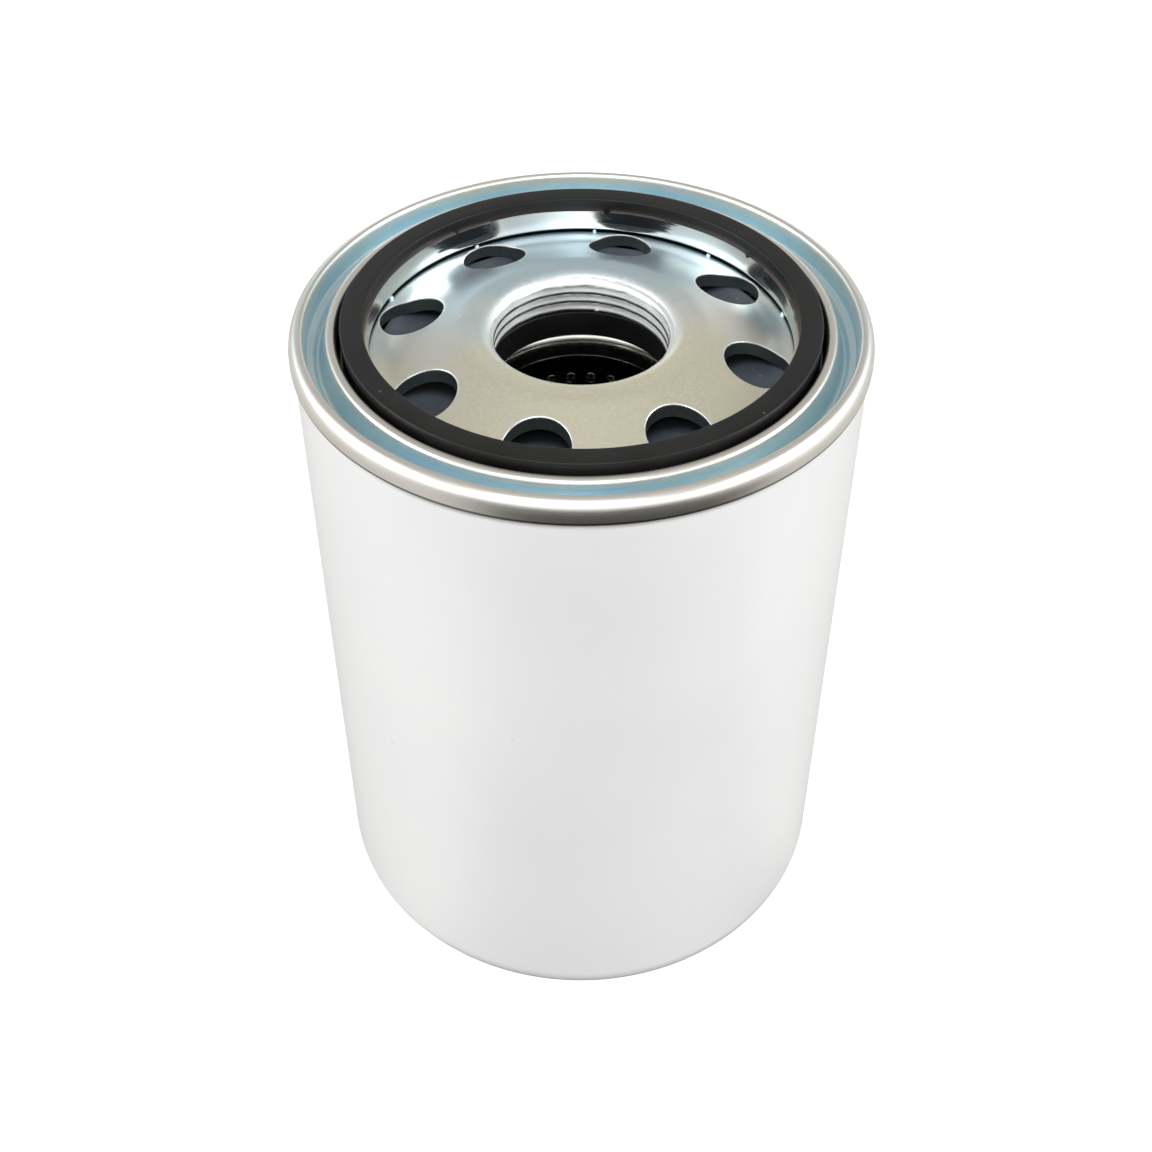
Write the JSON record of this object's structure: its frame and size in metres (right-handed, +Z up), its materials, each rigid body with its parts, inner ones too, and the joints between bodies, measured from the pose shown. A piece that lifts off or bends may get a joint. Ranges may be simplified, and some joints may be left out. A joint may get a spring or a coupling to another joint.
{
  "type": "spin-on oil filter",
  "caption": "Screw-on oil filter canister: white drawn can, plated threaded baseplate with inlet holes, seamed lid, square-cut gasket, pleated element and bypass valve.",
  "frame": {"origin": "centre of the can's base, on the plane it stands on", "axes": "+Z up the can's axis to the threaded mouth; +X and +Y across the can, with an inlet hole 76.3 degrees from +X"},
  "size_m": [0.129, 0.129, 0.1703],
  "materials": {
    "white_paint": "semi-gloss white powder coat",
    "zinc_lid": "zinc plate with blue and straw passivation tints",
    "zinc_plate": "zinc plate with blue and straw passivation tints, satin",
    "nitrile": "moulded black nitrile, satin",
    "valve_rubber": "matte blue-grey moulded rubber",
    "sealant": "cured seaming compound",
    "tinplate": "bright tinplate",
    "potting": "cured black potting compound",
    "media": "resin-treated pleated media",
    "spring_steel": "oiled spring wire",
    "valve_brass": "turned brass"
  },
  "bodies": {
    "shell": {"can": "white_paint", "seaming_lid": "zinc_lid", "seam_sealant": "sealant", "baseplate": "zinc_plate", "weld_nuggets": "zinc_plate", "base_gasket": "nitrile", "holdup_spring": "spring_steel"},
    "element": {"anti_drain_collar": "valve_rubber", "top_end_cap": "tinplate", "top_potting": "potting", "filter_media": "media", "media_seam_clip": "tinplate", "media_bands": "potting", "centre_tube": "tinplate", "bottom_potting": "potting", "bottom_end_cap": "tinplate", "bypass_seat": "valve_brass", "bypass_cage": "tinplate", "bypass_spring": "spring_steel"},
    "drain_flap": {"anti_drain_flap": "valve_rubber"},
    "poppet": {"bypass_poppet": "valve_brass", "bypass_seal": "nitrile"}
  },
  "joints": [
    {"name": "element_float", "type": "slide", "parent": "shell", "child": "element", "axis": [0, 0, -1], "range_m": [0, 0.003], "stiffness_N_per_m": 6000, "springref_m": -0.015, "deforming": ["holdup_spring"]},
    {"name": "flap_open", "type": "slide", "parent": "element", "child": "drain_flap", "axis": [0, 0, -1], "range_m": [0, 0.0025], "stiffness_N_per_m": 300, "springref_m": -0.002},
    {"name": "bypass_lift", "type": "slide", "parent": "element", "child": "poppet", "axis": [0, 0, 1], "range_m": [0, 0.004], "stiffness_N_per_m": 1500, "springref_m": -0.017, "deforming": ["bypass_spring"]}
  ]
}
